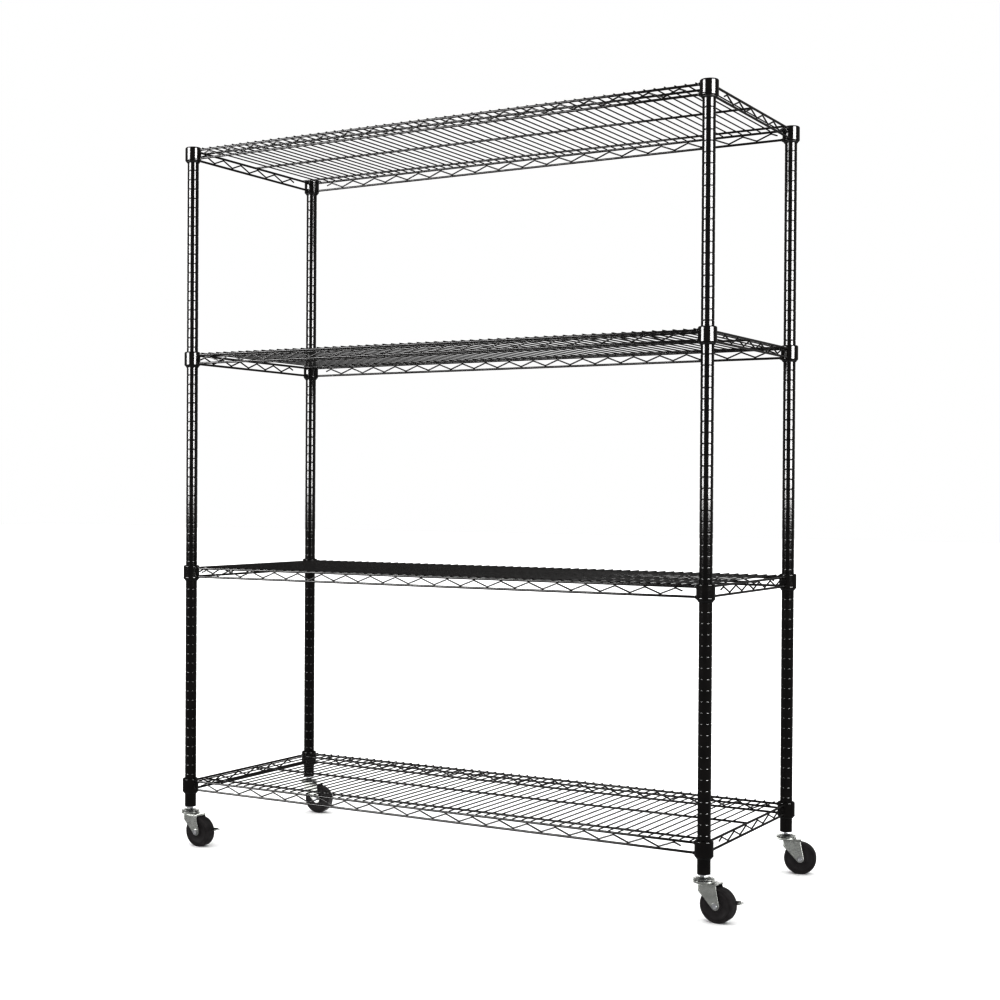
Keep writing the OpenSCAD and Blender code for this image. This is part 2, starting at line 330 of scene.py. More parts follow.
class Look:
    """A material whose colour, roughness and relief come from procedural nodes."""

    def __init__(self, name, metallic=0.0, specular=0.5):
        self.material = bpy.data.materials.new(name)
        self.material.use_nodes = True
        self.tree = self.material.node_tree
        self.shader = self.tree.nodes["Principled BSDF"]
        self.shader.inputs["Metallic"].default_value = metallic
        self.shader.inputs["Specular IOR Level"].default_value = specular
        self.place = self.tree.nodes.new("ShaderNodeTexCoord").outputs["Object"]
        self.normal = None

    def noise(self, scale, detail=3.0, stretch=(1, 1, 1)):
        mapping = self.tree.nodes.new("ShaderNodeMapping")
        mapping.inputs["Scale"].default_value = stretch
        self.tree.links.new(self.place, mapping.inputs["Vector"])
        node = self.tree.nodes.new("ShaderNodeTexNoise")
        node.inputs["Scale"].default_value = scale
        node.inputs["Detail"].default_value = detail
        self.tree.links.new(mapping.outputs["Vector"], node.inputs["Vector"])
        return node.outputs["Fac"]

    def colour(self, fac, low, high, at=(0.35, 0.65)):
        ramp = self.tree.nodes.new("ShaderNodeValToRGB")
        ramp.color_ramp.elements[0].position = at[0]
        ramp.color_ramp.elements[1].position = at[1]
        ramp.color_ramp.elements[0].color = (*low, 1)
        ramp.color_ramp.elements[1].color = (*high, 1)
        self.tree.links.new(fac, ramp.inputs["Fac"])
        self.tree.links.new(ramp.outputs["Color"], self.shader.inputs["Base Color"])

    def roughness(self, fac, low, high):
        spread = self.tree.nodes.new("ShaderNodeMapRange")
        spread.inputs["From Min"].default_value = 0.3
        spread.inputs["From Max"].default_value = 0.7
        spread.inputs["To Min"].default_value = low
        spread.inputs["To Max"].default_value = high
        self.tree.links.new(fac, spread.inputs["Value"])
        self.tree.links.new(spread.outputs["Result"], self.shader.inputs["Roughness"])

    def relief(self, fac, depth_mm, strength):
        bump = self.tree.nodes.new("ShaderNodeBump")
        bump.inputs["Distance"].default_value = depth_mm * MM
        bump.inputs["Strength"].default_value = strength
        self.tree.links.new(fac, bump.inputs["Height"])
        if self.normal is not None:
            self.tree.links.new(self.normal, bump.inputs["Normal"])
        self.normal = bump.outputs["Normal"]
        self.tree.links.new(self.normal, self.shader.inputs["Normal"])


def epoxy_look():
    """Glossy black powder coat with a fine orange peel."""
    look = Look("epoxy", specular=0.3)
    look.colour(look.noise(35), (0.009, 0.008, 0.0076), (0.014, 0.0122, 0.0114))
    look.roughness(look.noise(160, 4), 0.08, 0.16)
    look.relief(look.noise(700, 2), 0.05, 0.25)
    return look.material


def zinc_look():
    """Bright zinc plate on pressed steel: faint clouds, rolling streaks and tiny pits."""
    look = Look("zinc", metallic=1.0)
    look.colour(look.noise(60, 5), (0.54, 0.55, 0.53), (0.7, 0.71, 0.685), at=(0.3, 0.7))
    look.roughness(look.noise(90, 6, stretch=(1, 1, 7)), 0.18, 0.36)
    look.relief(look.noise(1400, 3), 0.02, 0.2)
    return look.material


def steel_look():
    """Bright plated steel of the stem, bolts and nuts, with faint turning marks."""
    look = Look("steel", metallic=1.0)
    look.colour(look.noise(80, 3), (0.6, 0.61, 0.63), (0.82, 0.82, 0.83))
    look.roughness(look.noise(60, 5, stretch=(1, 1, 12)), 0.1, 0.26)
    look.relief(look.noise(900, 3), 0.015, 0.2)
    return look.material


def plastic_look():
    """Moulded black plastic of the sleeves and caps, with a fine spark texture."""
    look = Look("plastic", specular=0.4)
    look.colour(look.noise(90, 4), (0.006, 0.006, 0.0065), (0.014, 0.0135, 0.0135))
    look.roughness(look.noise(220, 4), 0.32, 0.5)
    look.relief(look.noise(1800, 4), 0.04, 0.3)
    return look.material


def hub_look():
    """Hard moulded wheel centre, a little glossier than the tyre."""
    look = Look("hub_plastic", specular=0.25)
    look.colour(look.noise(70, 4), (0.034, 0.031, 0.0318), (0.046, 0.0425, 0.0434))
    look.roughness(look.noise(140, 4), 0.3, 0.46)
    look.relief(look.noise(1200, 4), 0.04, 0.3)
    return look.material


def rubber_look():
    """Dark grey rubber with a matt, faintly dusty skin."""
    look = Look("rubber", specular=0.2)
    look.colour(look.noise(50, 5), (0.034, 0.031, 0.0318), (0.052, 0.048, 0.049))
    look.roughness(look.noise(120, 5), 0.45, 0.65)
    look.relief(look.noise(900, 5), 0.06, 0.35)
    return look.material


EPOXY = epoxy_look()
ZINC = zinc_look()
STEEL = steel_look()
PLASTIC = plastic_look()
HUB = hub_look()
RUBBER = rubber_look()


# ---------------------------------------------------------------- places read from the frame

def centre_of(node):
    low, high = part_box(node)
    return (Vector(low) + Vector(high)) / 2


def post_centre(corner):
    return centre_of("post_" + corner)


def shelf_top(n):
    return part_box("collars_%d" % n)[1][2]


def caster_place(corner):
    """From a caster's own metres to the frame: stem on Z, wheel towards +X."""
    axis = Vector(JOINTS["wheel_spin_" + corner]["axis"])
    stem = post_centre(corner)
    turn = math.atan2(-axis.x, axis.y)
    return Matrix.Translation((stem.x, stem.y, 0)) @ Matrix.Rotation(turn, 4, "Z")


POST_R = (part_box("post_front_left")[1][0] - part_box("post_front_left")[0][0]) / 2 / MM
POST_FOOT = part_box("post_front_left")[0][2]
POST_LEN = (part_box("post_front_left")[1][2] - POST_FOOT) / MM
SPACING_X = (post_centre("front_right").x - post_centre("front_left").x) / MM
SPACING_Y = (post_centre("back_left").y - post_centre("front_left").y) / MM
RACK_CENTRE = (post_centre("front_left") + post_centre("back_right")) / 2
WHEEL_R = JOINTS["wheel_spin_front_left"]["pos_m"][2] / MM
TRAIL = (Vector(JOINTS["wheel_spin_front_left"]["pos_m"]).xy - post_centre("front_left").xy).length / MM


# ---------------------------------------------------------------- posts

def post_shape():
    """A tube with a rolled groove every pitch: soft shoulders, a narrow floor and rounded ends."""
    bore = POST_R - POST_WALL
    # One groove from its lower shoulder to its upper one, in half widths along and whole depths in
    groove = [(-1.9, 0), (-1.2, 0), (-0.85, 0.12), (-0.45, 0.8), (-0.15, 1)]
    groove += [(-along, depth) for along, depth in reversed(groove)]
    profile = [(bore, 0.4), (bore + 0.4, 0), (POST_R - 0.5, 0), (POST_R, 0.5), (POST_R, 1.3)]
    for i in range(1, round(POST_LEN / GROOVE_PITCH)):
        middle = (i + 0.5) * GROOVE_PITCH
        for along, depth in groove:
            profile.append((POST_R - depth * GROOVE_DEPTH, middle + along * GROOVE_HALF_W))
    profile += [(POST_R, POST_LEN - 1.3), (POST_R, POST_LEN - 0.5), (POST_R - 0.5, POST_LEN)]
    profile.append((bore, POST_LEN))
    shape = Shape()
    shape.add(lathe(ring_profile(profile), 40))
    return shape


def make_posts():
    shape = post_shape()
    for corner in CORNERS:
        at = post_centre(corner)
        shape.piece("fine_post_" + corner, EPOXY, "frame", "post_" + corner,
                    Matrix.Translation((at.x, at.y, POST_FOOT)))


def make_post_caps():
    """A plug with a low dome and a skirt inside the tube."""
    flange = 1.5
    skirt = POST_R - POST_WALL - 0.05
    dome = [(0, flange), (POST_R * 0.5, flange - 0.1), (POST_R * 0.8, flange - 0.35), (POST_R - 0.5, 0.9)]
    rim = [(POST_R - 0.05, 0.55), (POST_R, 0.2), (POST_R - 0.1, 0.02), (skirt, 0.02)]
    plug = [(skirt, -13), (skirt - 1, -14), (skirt - 2, -13.6), (skirt - 2, -1.5), (0, -1.5)]
    profile = dome + rim + plug
    shape = Shape()
    for corner in CORNERS:
        at = post_centre(corner)
        shape.add(lathe(profile[::-1]), Matrix.Translation((at.x / MM, at.y / MM, POST_FOOT / MM + POST_LEN)))
    shape.piece("fine_post_caps", PLASTIC, "frame", "post_caps")


# ---------------------------------------------------------------- sleeves and collars

def sleeve_r(depth):
    return POST_R + SLEEVE_OVER_POST + SLEEVE_TAPER * depth


def sleeve_half():
    """Half of a split sleeve, with a rounded foot that shows below the collar."""
    inside = POST_R + 0.05
    bottom = COLLAR_H + SLEEVE_FOOT
    profile = [(inside, -SLEEVE_TOP), (inside, -bottom + 0.4), (inside + 0.4, -bottom),
               (inside + 1.2, -bottom), (inside + 2, -bottom + 0.9), (sleeve_r(bottom - 3), -bottom + 4.4),
               (sleeve_r(bottom - 5), -bottom + 6), (sleeve_r(SLEEVE_TOP + 1), -SLEEVE_TOP - 1),
               (sleeve_r(SLEEVE_TOP) - 0.6, -SLEEVE_TOP)]
    return lathe(ring_profile(profile), 24, SLEEVE_SPLIT_DEG, 180 - 2 * SLEEVE_SPLIT_DEG)


def make_sleeves(n):
    shape = Shape()
    for corner in CORNERS:
        at = post_centre(corner)
        for turn in (0, 180):
            place = Matrix.Translation((at.x / MM, at.y / MM, shelf_top(n) / MM))
            shape.add(sleeve_half(), place @ Matrix.Rotation(math.radians(turn), 4, "Z"))
    shape.piece("fine_sleeves_%d" % n, PLASTIC, "frame", "sleeves_%d" % n)


def collar_shape():
    """A collar pressed from tube: a turned-in lip at the top and a rolled bead at the foot."""
    r = COLLAR_R
    bore_top = sleeve_r(0) + WEDGE_GAP
    bore_foot = sleeve_r(COLLAR_H) + WEDGE_GAP
    outside = [(bore_top + 0.4, 0), (r - 2.6, 0), (r - 1.9, -0.25), (r - 0.5, -1.7), (r - 0.15, -2.4),
               (r - 0.1, -3.0), (r - 0.1, -4.2), (r - 0.1, 6.6 - COLLAR_H), (r - 0.1, 5.4 - COLLAR_H),
               (r, 4.8 - COLLAR_H), (r, 3.4 - COLLAR_H), (r, 2.8 - COLLAR_H), (r - 0.4, 1.8 - COLLAR_H),
               (r - 1.7, 0.3 - COLLAR_H), (r - 2.1, -COLLAR_H), (bore_foot + 0.3, -COLLAR_H)]
    inside = [(bore_foot, 0.3 - COLLAR_H), (bore_top, -0.4)]
    return lathe(ring_profile((outside + inside)[::-1]), 56)


def make_collars(n):
    shape = Shape()
    for corner in CORNERS:
        at = post_centre(corner)
        shape.add(collar_shape(), Matrix.Translation((at.x / MM, at.y / MM, shelf_top(n) / MM)))
    shape.piece("fine_collars_%d" % n, EPOXY, "shelf_%d" % n, "collars_%d" % n)


# ---------------------------------------------------------------- shelves

def rail(shape, x, z, web):
    """A rail along X with a weld fillet at each collar, and a web of weld towards the collar's edge."""
    shape.add(tube([(-x, 0, z), (x, 0, z)], RAIL_R, 16, 0.1))
    fillet = [(RAIL_R - 0.3, 6.5), (RAIL_R + 0.25, 4.2), (RAIL_R + 0.9, 2.4), (RAIL_R + 1.9, 0.9),
              (RAIL_R + 2.6, -0.6), (RAIL_R - 0.3, -0.6)]
    web_outline = [(-7.5, RAIL_R - 0.6), (0.2, RAIL_R - 0.6), (0.2, RAIL_R + 2.6), (-1.0, RAIL_R + 2.5),
                   (-4.4, RAIL_R + 0.5)]
    for side in (-1, 1):
        turn = Matrix.Rotation(math.radians(-90 * side), 4, "Y")
        shape.add(lathe(ring_profile(fillet), 20), Matrix.Translation((side * x, 0, z)) @ turn)
        upright = Matrix(((side, 0, 0, side * x), (0, 0, 1, -WEB_T / 2), (0, web, 0, z), (0, 0, 0, 1)))
        shape.add(plate(web_outline, slab_levels(WEB_T, 0.5)), upright)


def snake(shape, span, peaks, first, last, top_z, bottom_z, luck):
    """A zigzag wire with rounded bends, a weld on each, and a free tail at each end."""
    first_x = first - span / 2
    leg = (span - first - last) / (peaks - 1) / 2
    rise = top_z - bottom_z
    bends = [Vector((first_x + i * leg, 0, bottom_z if i % 2 else top_z)) for i in range(2 * peaks - 1)]
    tail = Vector((leg, 0, rise)) * SNAKE_TAIL
    path = [bends[0] - tail] + bends + [bends[-1] + Vector((tail.x, 0, -tail.z))]
    shape.add(tube(rounded(path, SNAKE_BEND_R), SNAKE_R, 12))
    for i, bend in enumerate(bends):
        up = -1 if i % 2 else 1
        size = [s * luck.uniform(0.85, 1.2) for s in (3.4, 2.0, 1.5)]
        shape.add(bead(bend + Vector((luck.uniform(-0.6, 0.6), 0, up * 1.5)), size))


def truss(span, peaks, first, last, luck):
    """One side of the rim, along X and centred: top and bottom rails with the zigzag between them."""
    shape = Shape()
    x = span / 2 - COLLAR_R + RAIL_BITE
    rail(shape, x, -RAIL_DEPTH, 1)
    rail(shape, x, -RAIL_DEPTH - TRUSS_H, -1)
    # A bend's arc stays short of its corner, so the corners lie a little beyond the rails' faces
    overshoot = 0.45
    sink = RAIL_R + SNAKE_R + WIRE_GAP - overshoot
    snake(shape, span, peaks, first, last, -RAIL_DEPTH - sink, -RAIL_DEPTH - TRUSS_H + sink, luck)
    return shape.points, shape.faces


def shelf_place(n):
    return Matrix.Translation((RACK_CENTRE.x / MM, RACK_CENTRE.y / MM, shelf_top(n) / MM))


def make_trusses(n):
    luck = random.Random(10 + n)
    shape = Shape()
    for turn in (0, 180):
        place = shelf_place(n) @ Matrix.Rotation(math.radians(turn), 4, "Z")
        front = place @ Matrix.Translation((0, -SPACING_Y / 2, 0))
        shape.add(truss(SPACING_X, *LONG_PEAKS, luck), front)
        side = place @ Matrix.Translation((-SPACING_X / 2, 0, 0)) @ Matrix.Rotation(math.radians(90), 4, "Z")
        shape.add(truss(SPACING_Y, *SIDE_PEAKS, luck), side)
    shape.piece("fine_trusses_%d" % n, EPOXY, "shelf_%d" % n, "trusses_%d" % n)


def make_deck(n):
    """Cross wires on three long wires, with a weld at every crossing and on both rails."""
    luck = random.Random(20 + n)
    cross_z = -RAIL_DEPTH + RAIL_R + CROSS_R - RAIL_BITE
    long_z = cross_z - CROSS_R - LONG_R - WIRE_GAP
    rail_y = SPACING_Y / 2
    inner_y = rail_y - LONG_INSET
    shape = Shape()
    for i in range(-CROSS_EACH_SIDE, CROSS_EACH_SIDE + 1):
        x = i * CROSS_PITCH
        front = -rail_y - 2 * CROSS_R + luck.uniform(0, 0.7)
        back = rail_y + 2 * CROSS_R - luck.uniform(0, 0.7)
        shape.add(tube([(x, front, cross_z), (x, back, cross_z)], CROSS_R, 12))
        for y in (-rail_y, rail_y):
            size = [s * luck.uniform(0.85, 1.15) for s in (2.1, 1.7, 1.0)]
            shape.add(bead((x, y, cross_z - CROSS_R + 0.1), size))
        for y in (-inner_y, 0, inner_y):
            size = [s * luck.uniform(0.85, 1.15) for s in (2.0, 1.8, 0.9)]
            shape.add(bead((x, y, cross_z - CROSS_R), size))
    for y in (-inner_y, 0, inner_y):
        shape.add(tube([(-SPACING_X / 2, y, long_z), (SPACING_X / 2, y, long_z)], LONG_R, 16))
    placed = Shape()
    placed.add((shape.points, shape.faces), shelf_place(n))
    placed.piece("fine_deck_%d" % n, EPOXY, "shelf_%d" % n, "deck_%d" % n)


# ---------------------------------------------------------------- casters

def on_axle(y=0):
    """From a part turned about Z to one turned about the wheel's axle, its z = 0 at y."""
    return Matrix.Translation((TRAIL, y, WHEEL_R)) @ Matrix.Rotation(math.radians(-90), 4, "X")


def side_plate_place(side):
    """From an outline in X and Z with its thickness outwards to a side plate on that side of the wheel."""
    return Matrix(((1, 0, 0, 0), (0, 0, side, side * PLATE_IN_Y), (0, 1, 0, 0), (0, 0, 0, 1)))


def touch_angle(p, centre, radius, turn):
    """The direction, in degrees, from the circle's centre to where a line from p touches it."""
    away = Vector(p) - Vector(centre)
    return math.degrees(math.atan2(away.y, away.x) + turn * math.acos(radius / away.length))


def side_plate_outline():
    """Square under the top plate, tapering to a round end at the axle, anticlockwise."""
    axle = (TRAIL, WHEEL_R)
    top = TOP_PLATE_Z - 1
    front = (FORK_FRONT_X, FORK_CORNER_Z)
    rear = (FORK_REAR_X, top - 4)
    start = touch_angle(front, axle, FORK_END_R, 1)
    end = touch_angle(rear, axle, FORK_END_R, -1)
    if end < start:
        end += 360
    corner = arc((FORK_FRONT_X + 5, FORK_CORNER_Z + 2.5), 5, 180, 222, 4)
    return corner + arc(axle, FORK_END_R, start, end, 18) + [rear, (FORK_REAR_X, top), (FORK_FRONT_X, top)]


def add_side_plates(shape):
    """The fork's side plates: a raised rim round a flat recessed face, and a pad under the bolt or nut."""
    rim_w = 2.7
    recess = 1.1
    levels = [(0.5, 0), (0, 0.5), (0, PLATE_T - 1.5), (0.25, PLATE_T - 0.8), (0.8, PLATE_T - 0.25),
              (1.6, PLATE_T), (rim_w, PLATE_T), (rim_w + 0.5, PLATE_T - recess * 0.85),
              (rim_w + 0.8, PLATE_T - recess), (rim_w + 1.1, PLATE_T - recess)]
    for side in (-1, 1):
        shape.add(plate(side_plate_outline(), levels), side_plate_place(side))
        pad = lathe([(0, -1), (HEX_R + 1.2, -1), (HEX_R + 1.2, -0.3), (HEX_R + 0.6, 0), (0, 0)], 40)
        turn = on_axle(side * PLATE_OUT_Y) @ Matrix.Rotation(math.radians(0 if side > 0 else 180), 4, "X")
        shape.add(pad, turn)


def add_top_plate(shape):
    """The fork's top plate with its bends into the side plates, one section carried along X."""
    bend_inner_r = FORK_BEND_R - PLATE_T + 0.3
    centre = (PLATE_OUT_Y - FORK_BEND_R, TOP_PLATE_Z + 2.5 - FORK_BEND_R)
    outer = arc(centre, FORK_BEND_R, 0, 90, 6)
    inner = arc(centre, bend_inner_r, 0, 90, 6)
    section = outer + [(-y, z) for y, z in reversed(outer)] + [(-y, z) for y, z in inner] + inner[::-1]
    along_x = Matrix(((0, 0, 1, FORK_FRONT_X), (1, 0, 0, 0), (0, 1, 0, 0), (0, 0, 0, 1)))
    shape.add(plate(section, [(0, 0), (0, FORK_REAR_X - FORK_FRONT_X)]), along_x)


def add_dish(shape):
    """The fork's dished seat for the bearing balls."""
    dish = [(STEM_R + 0.1, TOP_PLATE_Z), (DISH_R - 3, TOP_PLATE_Z), (DISH_R - 1.2, TOP_PLATE_Z + 0.5),
            (DISH_R - 0.3, TOP_PLATE_Z + 1.6), (DISH_R, TOP_PLATE_Z + 3), (DISH_R, DISH_RIM_Z - 0.8),
            (DISH_R - 0.3, DISH_RIM_Z - 0.2), (DISH_R - 0.9, DISH_RIM_Z), (DISH_R - 1.6, DISH_RIM_Z - 0.3),
            (DISH_R - 2.2, DISH_RIM_Z - 1.2), (DISH_R - 2.8, TOP_PLATE_Z + 4),
            (DISH_R - 4, TOP_PLATE_Z + 2.7), (STEM_R + 0.1, TOP_PLATE_Z + 2.5)]
    shape.add(lathe(ring_profile(dish), 64))


def fork_shape():
    """A pressed fork: two side plates, the top plate that joins them and the dished bearing seat."""
    shape = Shape()
    add_side_plates(shape)
    add_top_plate(shape)
    add_dish(shape)
    return shape


def raceway_shape():
    """The fixed upper dish: a turned-down lip, a shoulder and a raised crown round the stem."""
    r = RACEWAY_R
    z = RACEWAY_Z
    lip = [(STEM_R, z), (r - 2.2, z), (r - 1.6, z - 0.1), (r - 0.6, z + 0.1), (r, z + 0.8),
           (r - 0.1, z + 1.6)]
    crown = [(r - 0.9, z + 2.2), (r - 3, z + 2.6), (r - 6.5, z + 3.1), (r - 9.2, z + 4.3), (r - 11, z + 5.2),
             (r - 12.5, RACEWAY_TOP_Z), (STEM_R, RACEWAY_TOP_Z)]
    shape = Shape()
    shape.add(lathe(ring_profile(lip + crown), 64))
    return shape


def stem_shape():
    """The stem: rivet head, journal, hexagon and the thread that goes up into the post."""
    shape = Shape()
    head = TOP_PLATE_Z - 0.15
    rivet = [(0, head - 2), (6.5, head - 2), (8.2, head - 1.5), (9, head - 0.6), (9, head), (STEM_R, head),
             (STEM_R, RACEWAY_TOP_Z), (0, RACEWAY_TOP_Z)]
    shape.add(lathe(rivet, 40))
    hex_t = STEM_TOP_Z - RACEWAY_TOP_Z
    levels = [(0.7, 0), (0, 0.6), (0, hex_t - 0.6), (0.7, hex_t)]
    shape.add(plate(hexagon(STEM_HEX_R), levels), Matrix.Translation((0, 0, RACEWAY_TOP_Z)))
    thread = [(0, RACEWAY_TOP_Z)]
    z = STEM_TOP_Z - 1
    while z < STEM_TOP_Z + STEM_THREAD_LEN:
        thread += [(STEM_THREAD_R, z), (STEM_THREAD_ROOT_R, z + STEM_THREAD_PITCH / 2)]
        z += STEM_THREAD_PITCH
    thread += [(STEM_THREAD_ROOT_R, z), (3.6, z + 1), (0, z + 1)]
    shape.add(lathe(thread, 32))
    return shape


def tyre_shape():
    """A narrow crowned tread, round shoulders and a raised ring on each side wall."""
    half = WHEEL_W / 2
    inner = WHEEL_R * HUB_R_SHARE
    side = [(inner, half - 1.3), (inner + 1, half - 1.1), (WHEEL_R - 7.6, half - 1.0),
            (WHEEL_R - 6.9, half - 1.6), (WHEEL_R - 6.2, half - 1.6), (WHEEL_R - 5.6, half - 0.5),
            (WHEEL_R - 4.8, half)]
    shoulder = arc((WHEEL_R - 4.4, half - 4.4), 4.4, 82, 12, 6)
    tread = [(WHEEL_R - 0.05, half - 7), (WHEEL_R, half - 10), (WHEEL_R, 0)]
    top = side + shoulder + tread
    profile = top + [(r, -y) for r, y in reversed(top[:-1])]
    shape = Shape()
    shape.add(lathe(ring_profile(profile[::-1]), 96), on_axle())
    return shape


def hub_shape():
    """A solid moulded centre: shallow dish, a step ring and a boss that runs on the axle tube."""
    half = WHEEL_W / 2
    inner = WHEEL_R * HUB_R_SHARE
    bore = TUBE_R + 0.05
    boss = [(bore, half + 1.6), (bore + 0.3, half + 1.8), (11.6, half + 1.8), (12.6, half + 1.3),
            (13, half + 0.4), (13.2, half - 1.9), (13.8, half - 2.5)]
    step_ring = [(16.5, half - 2.6), (17.0, half - 2.2), (18.2, half - 2.1), (18.8, half - 2.6)]
    rim = [(inner - 2.5, half - 2.3), (inner - 1.2, half - 1.6), (inner, half - 1.35)]
    top = boss + step_ring + rim
    profile = top + [(r, -y) for r, y in reversed(top)]
    shape = Shape()
    shape.add(lathe(ring_profile(profile[::-1]), 96), on_axle())
    return shape


def nut_y(corner):
    return PLATE_OUT_Y + (2 * PEDAL_GAP + PEDAL_T if corner in BRAKED else 0)


def bolt_shape(corner):
    """The axle bolt: a chamfered hexagon with a turned face, a shank and a threaded end."""
    shape = Shape()
    flip = on_axle(-PLATE_OUT_Y) @ Matrix.Rotation(math.radians(180), 4, "X")
    shape.add(hex_head(HEX_R, BOLT_HEAD_T - 0.6), flip)
    face = [(0, BOLT_HEAD_T - 0.35), (2.6, BOLT_HEAD_T - 0.35), (3.1, BOLT_HEAD_T), (5.4, BOLT_HEAD_T - 0.1),
            (5.9, BOLT_HEAD_T - 0.8), (0, BOLT_HEAD_T - 0.8)]
    shape.add(lathe(ring_profile(face[::-1]), 40), flip)
    end = nut_y(corner) + BOLT_HEAD_T + 1
    shank = [(0, -PLATE_OUT_Y - 1), (AXLE_R, -PLATE_OUT_Y - 1), (AXLE_R, nut_y(corner) + 1)]
    y = nut_y(corner) + 1
    while y < end - 1.4:
        shank += [(AXLE_R - 0.5, y + AXLE_THREAD_PITCH / 2), (AXLE_R, y + AXLE_THREAD_PITCH)]
        y += AXLE_THREAD_PITCH
    shank += [(AXLE_R - 0.2, end - 0.7), (AXLE_R - 0.9, end), (0, end)]
    shape.add(lathe(shank, 32), on_axle())
    return shape


def nut_shape(corner):
    """A lock nut: a chamfered hexagon with a round collar on its outer face."""
    shape = Shape()
    shape.add(hex_head(HEX_R, BOLT_HEAD_T - 1.2, 0.8), on_axle(nut_y(corner)))
    collar = [(AXLE_R, BOLT_HEAD_T - 1.6), (6.2, BOLT_HEAD_T - 1.6), (6.1, BOLT_HEAD_T - 0.5),
              (5.5, BOLT_HEAD_T), (AXLE_R + 0.3, BOLT_HEAD_T), (AXLE_R, BOLT_HEAD_T - 0.3)]
    shape.add(lathe(ring_profile(collar), 40), on_axle(nut_y(corner)))
    return shape


def pedal_shape():
    """A pressed brake lever: an eye on the axle, an arm, and a turned foot tab with ribs."""
    shape = Shape()
    eye = arc((0, 0), PEDAL_EYE_R, 35, 325, 24)
    half = PEDAL_TIP_W / 2
    # The arm is the far end of a rectangle, its two round corners of five points each
    arm = eye + rectangle(0, PEDAL_ARM_REACH, -half, half, 1.5)[0:10]
    levels = slab_levels(PEDAL_T, 0.5)
    rise = Matrix.Rotation(math.radians(-PEDAL_RISE_DEG), 4, "Y")
    at_eye = Matrix.Translation((TRAIL, PLATE_OUT_Y + PEDAL_GAP, WHEEL_R)) @ rise
    shape.add(plate(arm, levels), at_eye @ Matrix(((1, 0, 0, 0), (0, 0, 1, 0), (0, 1, 0, 0), (0, 0, 0, 1))))
    tab = rectangle(PEDAL_TAB_START, PEDAL_REACH, PEDAL_T - PEDAL_TAB_W, PEDAL_T - 0.5, 2.5)
    shape.add(plate(tab, levels), at_eye @ Matrix.Translation((0, 0, -half)))
    for x in (PEDAL_TAB_START + 3.5, PEDAL_REACH - 3.5):
        rib = rectangle(x - 0.9, x + 0.9, PEDAL_T - PEDAL_TAB_W + 3, PEDAL_T - 5, 0.8)
        rib_levels = [(0, -0.2), (0, 0.35), (0.3, 0.6)]
        shape.add(plate(rib, rib_levels), at_eye @ Matrix.Translation((0, 0, PEDAL_T - half)))
    return shape


def make_caster(corner):
    place = caster_place(corner)
    swivel = "swivel_" + corner
    wheel = "wheel_" + corner
    stem_shape().piece("fine_stem_" + corner, STEEL, "frame", "stem_" + corner, place)
    raceway_shape().piece("fine_raceway_" + corner, ZINC, "frame", "raceway_" + corner, place)
    fork_shape().piece("fine_fork_" + corner, ZINC, swivel, "fork_" + corner, place, 40)
    bolt_shape(corner).piece("fine_axle_bolt_" + corner, STEEL, swivel, "axle_bolt_" + corner, place)
    nut_shape(corner).piece("fine_axle_nut_" + corner, STEEL, swivel, "axle_nut_" + corner, place)
    tyre_shape().piece("fine_tyre_" + corner, RUBBER, wheel, "tyre_" + corner, place)
    hub_shape().piece("fine_hub_" + corner, HUB, wheel, "hub_" + corner, place)
    if corner in BRAKED:
        pedal_shape().piece("fine_brake_pedal_" + corner, ZINC, "pedal_" + corner,
                            "brake_pedal_" + corner, place)


def paint_inner_nodes():
    """The CAD nodes that stay: they get the procedural materials of their slots."""
    inner = {"bearing_balls": STEEL, "stem_sockets": STEEL}
    inner.update({"axle_tube_" + corner: STEEL for corner in CORNERS})
    for node, material in inner.items():
        mesh = frame["nodes"][node].data
        mesh.materials.clear()
        mesh.materials.append(material)


# ---------------------------------------------------------------- stage, light and camera

FLOOR_HALF = 30
FLOOR_WHITE = 0.97

# The white room's strength: as light on the surfaces, and as what they mirror
FILL_STRENGTH = 1.6
GLOSS_STRENGTH = 0.5

# Area lights in metres and watts: name, place, target, width, height and power
TALL_BOXES = [
    ("right_box", (3.8, -1.15, 2.1), (0.3, -0.2, 2.1), 2.6, 2.4, 900),
    ("left_box", (-2.7, -3.7, 2.1), (0, -0.2, 2.1), 3.0, 2.4, 900),
]
LOW_BOXES = [
    ("low_left_box", (-3.2, -3.2, 0.7), (0, 0, 0.1), 1.6, 1.0, 22),
    ("low_right_box", (3.9, -0.6, 0.8), (0, 0, 0.1), 1.4, 1.0, 22),
    ("low_back_box", (-2.2, 3.8, 1.0), (0, 0, 0.1), 4.2, 1.2, 24),
    ("panel_left", (-1.0, 0.95, 0.004), (-1.0, 0.95, 1), 3.0, 2.2, 40),
    ("panel_right", (2.0, 0.7, 0.004), (2.0, 0.7, 1), 2.1, 2.5, 32),
]

# The camera: its turn from straight along +Y, its lens and shift, and its place from the rack's middle and
# the posts' feet, in metres
CAMERA_YAW_DEG = 32.05
CAMERA_PITCH_DEG = -0.48
CAMERA_ROLL_DEG = 0.31
CAMERA_SENSOR_MM = 36
CAMERA_LENS_MM = 60.2
CAMERA_SHIFT_X = 0.116
CAMERA_SHIFT_Y = 0.005
CAMERA_X = 2.138
CAMERA_Y = -3.894
CAMERA_Z = 0.867
VIEW_GAMMA = 0.65


